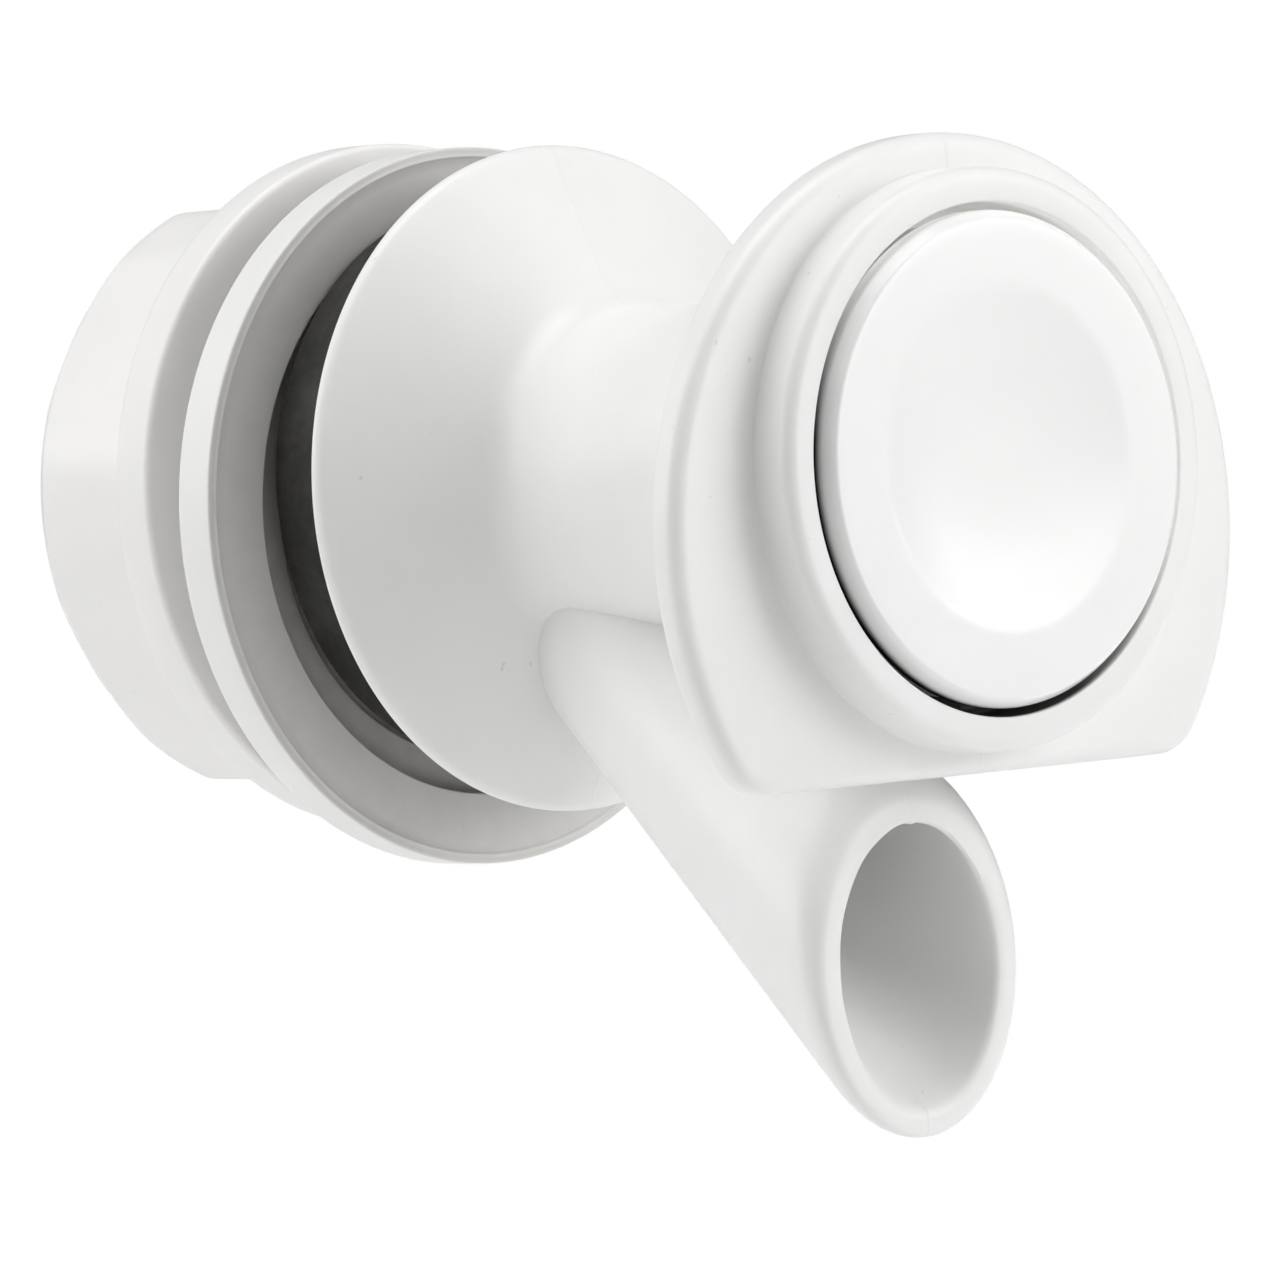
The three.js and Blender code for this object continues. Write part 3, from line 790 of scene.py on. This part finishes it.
def white_plastic(name, light, dark, rough, parting=False, peel=1.0, well=None, grain=True,
                  face_shade=False):
    """Satin moulded plastic: slight clouding, uneven sheen and fine orange peel.

    well: heights on Y, in millimetres from the flange, where the slot round the button starts to
    darken, reaches the knee of its shading and is darkest.
    """
    shader = Shader(name)
    cloud = shader.noise(scale=130, detail=3, rough=0.55)
    tone = shader.mix(shader.ramp(cloud, (0.3, 0.7)), light, dark)
    if grain:
        tone = add_marks(shader, tone)
    if well:
        tone = shade_well(shader, tone, well)
    # painted shade on the washer's face and in its recess
    if face_shade:
        tone = shade_washer_face(shader, tone)
    shader.set("Base Color", tone)
    sheen = shader.noise(scale=420, detail=4, rough=0.6)
    shader.set("Roughness", shader.ramp(sheen, (0.25, 0.75), (rough - 0.04, rough + 0.05)))
    waves = shader.noise(scale=190, detail=2, rough=0.4)
    normal = shader.bump(waves, distance=0.00009 * peel, strength=0.5)
    if grain:
        fine = shader.noise(scale=2600, detail=2)
        normal = shader.bump(fine, distance=0.000006, strength=0.6, below=normal)
    if parting:
        normal = parting_line(shader, normal)
    shader.set("Normal", normal)
    shader.set("IOR", 1.49)
    shader.set("Specular IOR Level", 0.5)
    shader.set("Subsurface Weight", 0.12)
    shader.set("Subsurface Radius", (0.0022, 0.0020, 0.0018))
    shader.set("Subsurface Scale", 1.0)
    return shader.mat


def rubber(name, tone, rough):
    """Black moulded rubber with a faint bloom and short mould scuffs round its side."""
    shader = Shader(name)
    bloom = shader.noise(scale=260, detail=5, rough=0.65)
    light = tuple(channel * 2.1 + 0.006 for channel in tone)
    shader.set("Base Color", shader.mix(shader.ramp(bloom, (0.42, 0.78)), tone, light))
    sheen = shader.noise(scale=900, detail=3, rough=0.6)
    shader.set("Roughness", shader.ramp(sheen, (0.3, 0.7), (rough - 0.07, rough + 0.08)))
    pores = shader.noise(scale=1500, detail=4, rough=0.6)
    normal = shader.bump(pores, distance=0.00003, strength=0.6)
    scuffs = shader.noise(scale=300, detail=3, stretch=(1, 6, 1))
    shader.set("Normal", shader.bump(scuffs, distance=0.00006, strength=0.4, below=normal))
    shader.set("IOR", 1.5)
    shader.set("Specular IOR Level", 0.35)
    return shader.mat


def spring_wire(name):
    """Bright stainless wire, with fine streaks and a slight change of tint."""
    shader = Shader(name)
    streak = shader.noise(scale=900, detail=4, rough=0.6, stretch=(1, 9, 1))
    tint = shader.mix(shader.ramp(streak, (0.3, 0.7)), (0.66, 0.65, 0.63), (0.82, 0.81, 0.79))
    shader.set("Base Color", tint)
    shader.set("Metallic", 1.0)
    shader.set("Roughness", shader.ramp(streak, (0.25, 0.75), (0.2, 0.36)))
    lines = shader.noise(scale=4200, detail=2, stretch=(1, 12, 1))
    shader.set("Normal", shader.bump(lines, distance=0.000004, strength=0.6))
    return shader.mat


# ---------------------------------------------------------------- the pieces on their bodies

# builder, body, node it replaces, slot, kind of material, the material's settings
PIECES = [
    (spigot_body, "tap", "spigot_body", "body_white", white_plastic,
     dict(name="mat_body", light=(0.86, 0.86, 0.852), dark=(0.835, 0.835, 0.825), rough=0.36,
          parting=True, well=(-38.98, -38.8, -38.5))),
    (push_button, "plunger", "push_button", "button_white", white_plastic,
     dict(name="mat_button", light=(0.9, 0.9, 0.895), dark=(0.89, 0.89, 0.884), rough=0.22,
          peel=0.35, grain=False, well=(-39.6, -38.85, -38.5))),
    (plunger_stem, "plunger", "plunger_stem", "stem_acetal", white_plastic,
     dict(name="mat_stem", light=(0.8, 0.8, 0.775), dark=(0.765, 0.765, 0.74), rough=0.44)),
    (valve_seal, "plunger", "valve_seal", "seal_rubber", rubber,
     dict(name="mat_seal", tone=(0.02, 0.02, 0.02), rough=0.62)),
    (stem_oring, "tap", "stem_oring", "oring_rubber", rubber,
     dict(name="mat_oring", tone=(0.014, 0.014, 0.014), rough=0.42)),
    (oring_retainer, "tap", "oring_retainer", "retainer_acetal", white_plastic,
     dict(name="mat_retainer", light=(0.78, 0.78, 0.75), dark=(0.75, 0.75, 0.72), rough=0.44)),
    (return_spring, "tap", "return_spring", "spring_steel", spring_wire,
     dict(name="mat_spring")),
    (outer_gasket, "tap", "outer_gasket", "gasket_rubber", rubber,
     dict(name="mat_gasket", tone=(0.022, 0.021, 0.019), rough=0.58)),
    # the washer gets painted shade on its face and in its recess
    (inner_washer, "washer", "inner_washer", "washer_white", white_plastic,
     dict(name="mat_washer", light=(0.855, 0.852, 0.838), dark=(0.83, 0.826, 0.81), rough=0.4,
          face_shade=True)),
    (lock_nut, "nut", "lock_nut", "nut_white", white_plastic,
     dict(name="mat_nut", light=(0.865, 0.858, 0.848), dark=(0.84, 0.832, 0.82), rough=0.4)),
]

for build, body, node, slot, material, settings in PIECES:
    piece = build()
    piece.data.materials.clear()
    piece.data.materials.append(material(**settings))
    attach(piece, body)
    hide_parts(node)
    if node == "return_spring":
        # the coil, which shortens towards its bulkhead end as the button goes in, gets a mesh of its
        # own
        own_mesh(piece)

# ---------------------------------------------------------------- floor and world

FLOOR_HALF, FLOOR_Z = 6.0, -0.078  # metres


def camera_switch(tree, lit, seen, output):
    """Shows seen to the camera and lit to every other ray."""
    path = tree.nodes.new("ShaderNodeLightPath")
    either = tree.nodes.new("ShaderNodeMixShader")
    tree.links.new(path.outputs["Is Camera Ray"], either.inputs[0])
    tree.links.new(lit.outputs[0], either.inputs[1])
    tree.links.new(seen.outputs[0], either.inputs[2])
    tree.links.new(either.outputs[0], output.inputs[0])


def white_light(tree, kind, strength):
    node = tree.nodes.new(kind)
    node.inputs["Color"].default_value = (1, 1, 1, 1)
    node.inputs["Strength"].default_value = strength
    return node


corners = ((-1, -1), (1, -1), (1, 1), (-1, 1))
floor_mesh = bpy.data.meshes.new("floor")
floor_mesh.from_pydata(
    [(x * FLOOR_HALF, y * FLOOR_HALF, FLOOR_Z) for x, y in corners], [], [(0, 1, 2, 3)]
)
floor = bpy.data.objects.new("floor", floor_mesh)
bpy.context.scene.collection.objects.link(floor)
paint = Shader("mat_floor")
patches = paint.noise(scale=6, detail=2)
paint.set("Base Color", paint.mix(patches, (0.9, 0.9, 0.9), (0.93, 0.93, 0.93)))
paint.set("Roughness", 0.9)
# the floor shows as bright as the world behind it, so no horizon cuts the picture
glow = white_light(paint.tree, "ShaderNodeEmission", strength=1.0)
camera_switch(paint.tree, lit=paint.bsdf, seen=glow, output=paint.out)
floor.data.materials.append(paint.mat)

world = bpy.data.worlds.new("studio")
bpy.context.scene.world = world
world.use_nodes = True
sky = world.node_tree
sky.nodes.clear()
sky_out = sky.nodes.new("ShaderNodeOutputWorld")
sky_seen = white_light(sky, "ShaderNodeBackground", strength=1.0)
sky_lit = white_light(sky, "ShaderNodeBackground", strength=0.01)
camera_switch(sky, lit=sky_lit, seen=sky_seen, output=sky_out)

# ---------------------------------------------------------------- lights and camera

CAMERA_RIGHT = (0.7328745, -0.6778539, -0.0583873)
CAMERA_UP = (0.0637687, -0.0170030, 0.9978198)
CAMERA_BACK = (-0.6773688, -0.7350000, 0.0307648)
CAMERA_FROM_AXIS = (-0.3705102, -0.4087020, 0.0072435)  # metres from AXIS
CAMERA_SIDE = math.degrees(math.atan2(CAMERA_BACK[1], CAMERA_BACK[0]))

LIGHT_SIZE, LIGHT_AWAY = 0.5, 0.8  # metres
# name, degrees round Z from the camera's side, degrees above the floor, watts
SOFTBOXES = [
    ("right_low", 80, 20, 2.77),
    ("overhead", 0, 88, 2.75),
    ("left_low", -80, 20, 1.98),
    ("right_high", 80, 55, 1.27),
    ("left_high", -80, 55, 1.24),
    ("front_high", -40, 55, 0.98),
    ("right_under", 80, -2, 0.71),
    ("back_left", -120, 20, 0.57),
    ("left_under", -60, -2, 0.44),
    ("front_right", 40, 20, 0.38),
    ("back_right", 120, 20, 0.29),
]

for name, turn, rise, watts in SOFTBOXES:
    lamp = bpy.data.lights.new(name, "AREA")
    lamp.shape = "SQUARE"
    lamp.size = LIGHT_SIZE
    lamp.energy = watts
    light = bpy.data.objects.new(name, lamp)
    bpy.context.scene.collection.objects.link(light)
    around, lift = math.radians(CAMERA_SIDE + turn), math.radians(rise)
    level = math.cos(lift)
    out = Vector((math.cos(around) * level, math.sin(around) * level, math.sin(lift)))
    light.location = out * LIGHT_AWAY
    light.rotation_euler = (-out).to_track_quat("-Z", "Y").to_euler()

lens = bpy.data.cameras.new("camera")
lens.sensor_fit = "HORIZONTAL"
lens.sensor_width = 36.0
lens.lens = 255.92417062
lens.clip_start = 0.01
lens.clip_end = 50.0
camera = bpy.data.objects.new("camera", lens)
bpy.context.scene.collection.objects.link(camera)
facing = Matrix((CAMERA_RIGHT, CAMERA_UP, CAMERA_BACK)).transposed().to_4x4()
eye = Vector(CAMERA_FROM_AXIS) + Vector(AXIS) * MM
camera.matrix_world = Matrix.Translation(eye) @ facing
bpy.context.scene.camera = camera

view = bpy.context.scene.view_settings
view.view_transform = "Standard"
view.look = "None"
view.exposure = 0.0
view.gamma = 1.0
